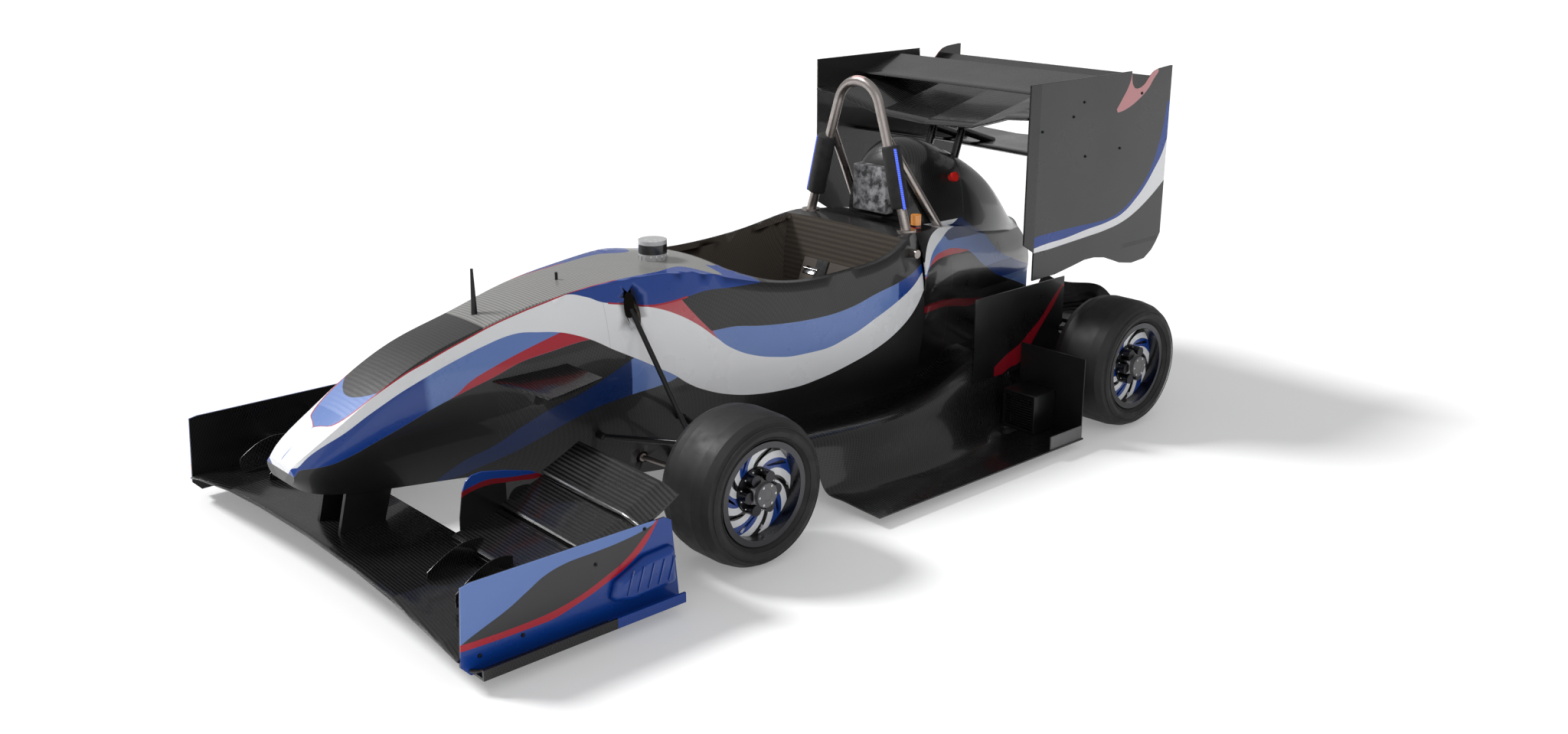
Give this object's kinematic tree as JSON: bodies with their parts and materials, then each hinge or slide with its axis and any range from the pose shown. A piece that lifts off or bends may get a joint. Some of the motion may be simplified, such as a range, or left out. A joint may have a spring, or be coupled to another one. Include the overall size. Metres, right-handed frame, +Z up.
{
  "type": "open wheel racing car",
  "caption": "Single seat open wheel racing car with front and rear wings, underfloor tunnels, roll hoop, steered front wheels and a motor in every wheel.",
  "frame": {"origin": "middle of the car's footprint on the ground", "axes": "+X forward to the nose, +Y to the car's left, +Z up"},
  "size_m": [2.925, 1.502, 1.083],
  "materials": {
    "carbon_gloss": "clear coated black carbon weave",
    "carbon_satin": "satin black carbon weave",
    "livery": "white, blue and red foil over black carbon",
    "cockpit": "bare carbon",
    "steel_tube": "bare welded steel",
    "rod": "carbon tube",
    "upright": "dark anodised",
    "hub_metal": "polished dark metal",
    "rim_metal": "dark rim with white and blue blades",
    "tyre": "slick rubber",
    "pad": "black foam sleeve",
    "rest_cloth": "grey mottled cover",
    "strap": "black webbing",
    "pack_case": "plain case",
    "scanner": "silver ends and a black window",
    "black_plastic": "black",
    "beacon_orange": "orange lens",
    "button_red": "red",
    "light_red": "red lens",
    "grip": "moulded grip"
  },
  "bodies": {
    "chassis": {"antennas": "black_plastic", "battery_pack": "pack_case", "beacon": "beacon_orange", "column_bearing": "upright", "diffuser": "carbon_gloss", "floor": "carbon_gloss", "floor_tags": "carbon_satin", "front_endplate_left": "livery", "front_endplate_right": "livery", "front_flaps_left": "carbon_gloss", "front_flaps_right": "carbon_gloss", "front_wing_main": "carbon_gloss", "front_wishbones": "rod", "harness": "strap", "harness_bar": "steel_tube", "headrest": "rest_cloth", "hoop_pads": "pad", "jacking_bar": "steel_tube", "lidar": "scanner", "monocoque": "livery", "nose_cone": "livery", "nose_winglets": "carbon_gloss", "rack_case": "upright", "radiator_boards": "carbon_satin", "radiators": "carbon_satin", "rear_cowl": "livery", "rear_endplate_left": "livery", "rear_endplate_right": "livery", "rear_light": "light_red", "rear_tub": "carbon_satin", "rear_uprights": "upright", "rear_wing_flaps": "carbon_gloss", "rear_wing_lower": "carbon_gloss", "rear_wing_main": "carbon_gloss", "rear_wishbones": "rod", "roll_hoop": "steel_tube", "seat": "cockpit", "shutdown_buttons": "button_red", "side_boards": "carbon_satin", "swan_necks": "carbon_gloss", "wing_fences": "carbon_gloss", "wing_masts": "carbon_gloss"},
    "wheel_front_left": {"hub_front_left": "hub_metal", "rim_front_left": "rim_metal", "tyre_front_left": "tyre"},
    "wheel_front_right": {"hub_front_right": "hub_metal", "rim_front_right": "rim_metal", "tyre_front_right": "tyre"},
    "wheel_rear_left": {"hub_rear_left": "hub_metal", "rim_rear_left": "rim_metal", "tyre_rear_left": "tyre"},
    "wheel_rear_right": {"hub_rear_right": "hub_metal", "rim_rear_right": "rim_metal", "tyre_rear_right": "tyre"},
    "knuckle_left": {"knuckle_left": "upright"},
    "knuckle_right": {"knuckle_right": "upright"},
    "rack": {"rack_bar": "rod"},
    "steering_wheel": {"steering_wheel": "grip"}
  },
  "joints": [
    {"name": "steer_left", "type": "hinge", "parent": "chassis", "child": "knuckle_left", "pos_m": [0.5275, 0.545, 0.201], "axis": [0, 0, 1], "range_deg": [-25, 25]},
    {"name": "steer_right", "type": "hinge", "parent": "chassis", "child": "knuckle_right", "pos_m": [0.5275, -0.545, 0.201], "axis": [0, 0, 1], "range_deg": [-25, 25]},
    {"name": "rack_slide", "type": "slide", "parent": "chassis", "child": "rack", "axis": [0, 1, 0], "range_m": [-0.031, 0.031]},
    {"name": "steering_wheel_turn", "type": "hinge", "parent": "chassis", "child": "steering_wheel", "pos_m": [0.1045, 0, 0.47], "axis": [0.9135, 0, -0.4067], "range_deg": [-111, 111]},
    {"name": "spin_front_left", "type": "hinge", "parent": "knuckle_left", "child": "wheel_front_left", "pos_m": [0.5275, 0.599, 0.201], "axis": [0, 1, 0], "continuous": true},
    {"name": "spin_front_right", "type": "hinge", "parent": "knuckle_right", "child": "wheel_front_right", "pos_m": [0.5275, -0.599, 0.201], "axis": [0, 1, 0], "continuous": true},
    {"name": "spin_rear_left", "type": "hinge", "parent": "chassis", "child": "wheel_rear_left", "pos_m": [-1.0225, 0.613, 0.201], "axis": [0, 1, 0], "continuous": true},
    {"name": "spin_rear_right", "type": "hinge", "parent": "chassis", "child": "wheel_rear_right", "pos_m": [-1.0225, -0.613, 0.201], "axis": [0, 1, 0], "continuous": true}
  ],
  "couplings": [
    {"joint": "steer_right", "follows": "steer_left", "ratio": 1},
    {"joint": "rack_slide", "follows": "steer_left", "m_per_rad": -0.07},
    {"joint": "steering_wheel_turn", "follows": "steer_left", "ratio": -4.4}
  ]
}
